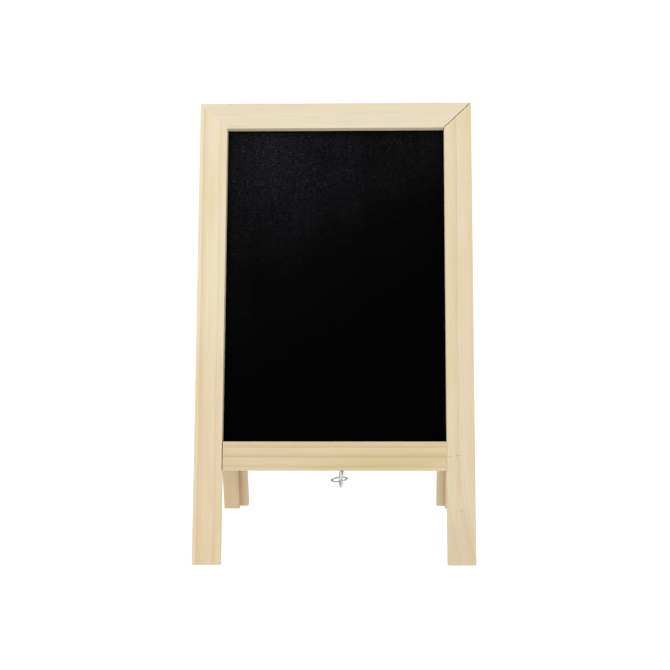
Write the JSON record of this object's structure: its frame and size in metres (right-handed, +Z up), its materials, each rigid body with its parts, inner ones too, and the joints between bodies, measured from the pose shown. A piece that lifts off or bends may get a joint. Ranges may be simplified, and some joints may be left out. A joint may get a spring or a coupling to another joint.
{
  "type": "tabletop chalkboard easel",
  "caption": "Small folding A-frame easel: hinged pine frames with black chalkboards facing outwards, held apart by a wire stay under the rails.",
  "frame": {"origin": "middle of the footprint, on the ground", "axes": "+Z up, -Y towards the front board, +X to the right of someone facing that board"},
  "size_m": [0.2, 0.182, 0.3298],
  "materials": {
    "pine": "bare sanded pine",
    "board": "hardboard with matt chalkboard paint",
    "hinge_plate": "zinc plated",
    "stay_wire": "bright zinc plated wire",
    "fasteners": "plain steel"
  },
  "bodies": {
    "front_frame": {"front_left_stile": "pine", "front_right_stile": "pine", "front_top_rail": "pine", "front_bottom_rail": "pine", "front_chalkboard": "board", "front_corner_staples": "fasteners", "front_rail_nails": "fasteners", "front_board_pins": "fasteners", "left_hinge_front_leaf": "hinge_plate", "left_hinge_pin": "fasteners", "right_hinge_front_leaf": "hinge_plate", "right_hinge_pin": "fasteners", "front_hinge_screws": "fasteners", "front_screw_eye": "stay_wire"},
    "rear_frame": {"rear_left_stile": "pine", "rear_right_stile": "pine", "rear_top_rail": "pine", "rear_bottom_rail": "pine", "rear_chalkboard": "board", "rear_corner_staples": "fasteners", "rear_rail_nails": "fasteners", "rear_board_pins": "fasteners", "left_hinge_rear_leaf": "hinge_plate", "right_hinge_rear_leaf": "hinge_plate", "rear_hinge_screws": "fasteners", "rear_catch_screw": "stay_wire"},
    "stay": {"stay_hook": "stay_wire"}
  },
  "joints": [
    {"name": "fold", "type": "hinge", "parent": "front_frame", "child": "rear_frame", "pos_m": [0, 0, 0.32815], "axis": [-1, 0, 0], "range_deg": [0, 27]},
    {"name": "stay_swing", "type": "hinge", "parent": "front_frame", "child": "stay", "pos_m": [0.0052, -0.06768, 0.05745], "axis": [-1, 0, 0], "range_deg": [0, 90]}
  ],
  "couplings": [
    {"joint": "stay_swing", "follows": "fold", "ratio": 3.3333}
  ]
}
